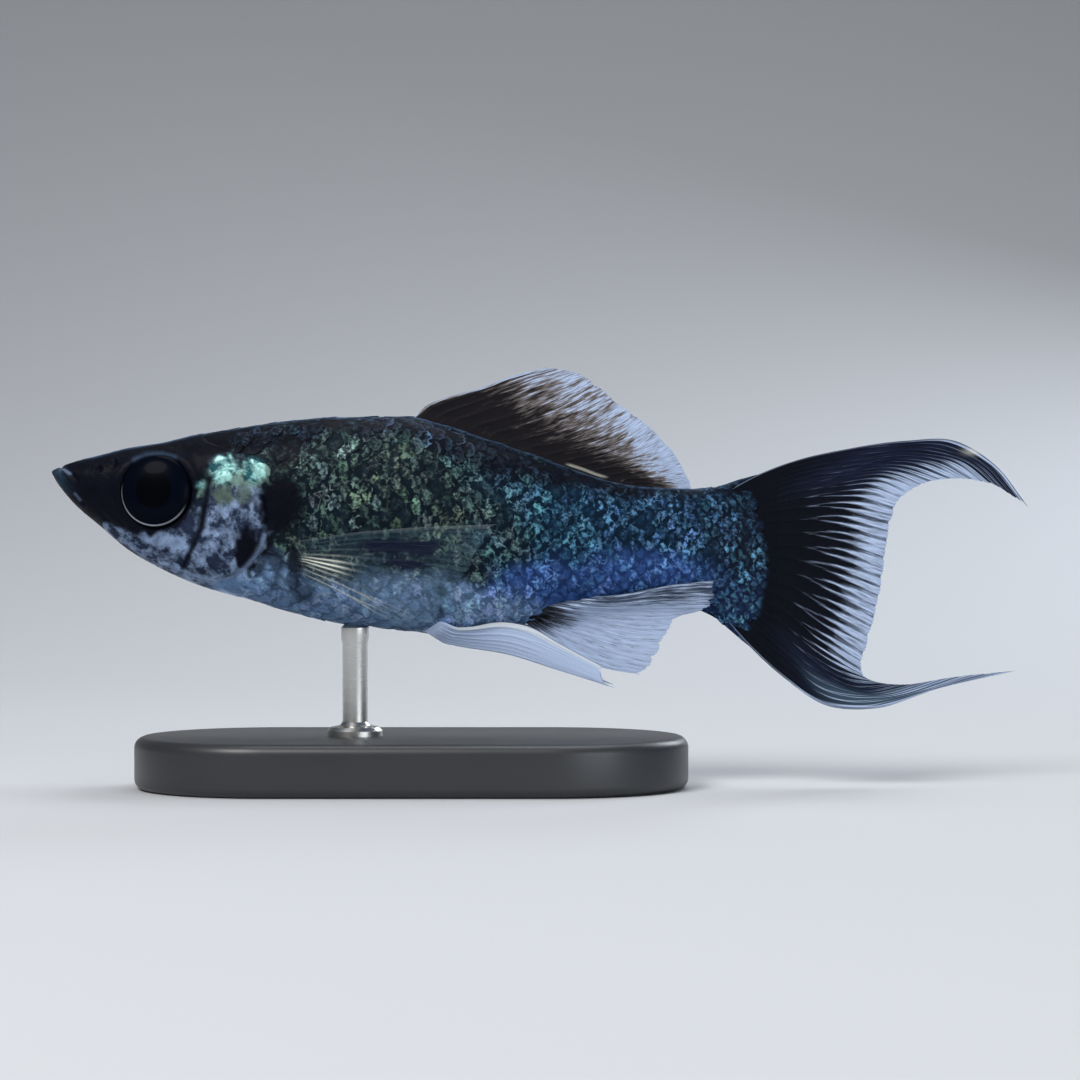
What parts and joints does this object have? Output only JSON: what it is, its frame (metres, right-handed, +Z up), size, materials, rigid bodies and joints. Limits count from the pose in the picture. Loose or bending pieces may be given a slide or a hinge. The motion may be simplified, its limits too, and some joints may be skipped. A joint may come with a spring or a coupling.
{
  "type": "fish model",
  "caption": "Life-size model of a small tropical fish with a lyre-shaped tail, large eyes and scaled flanks, swimming level on a low rounded display stand.",
  "frame": {"origin": "on the floor, under the middle of the model's overall length and width", "axes": "+X runs from the snout to the tail, +Y points to the fish's right side, +Z is up"},
  "size_m": [0.0848, 0.025, 0.0366],
  "materials": {
    "skin": "satin",
    "gill_cover": "satin",
    "eye": "gloss",
    "fin": "satin",
    "stand_base": "matte",
    "stand_metal": "brushed"
  },
  "bodies": {
    "root": {"head": "skin", "lower_jaw": "skin", "torso": "skin", "tail_stalk": "skin", "gill_cover_left": "gill_cover", "gill_cover_right": "gill_cover", "eye_left": "eye", "eye_right": "eye", "dorsal_fin": "fin", "anal_fin": "fin", "pectoral_fin_left": "fin", "pectoral_fin_right": "fin", "pelvic_fin_left": "fin", "pelvic_fin_right": "fin", "tail_fin_upper": "fin", "tail_fin_fan": "fin", "tail_fin_lower": "fin", "stand_base": "stand_base", "stand_rod": "stand_metal"}
  },
  "joints": []
}
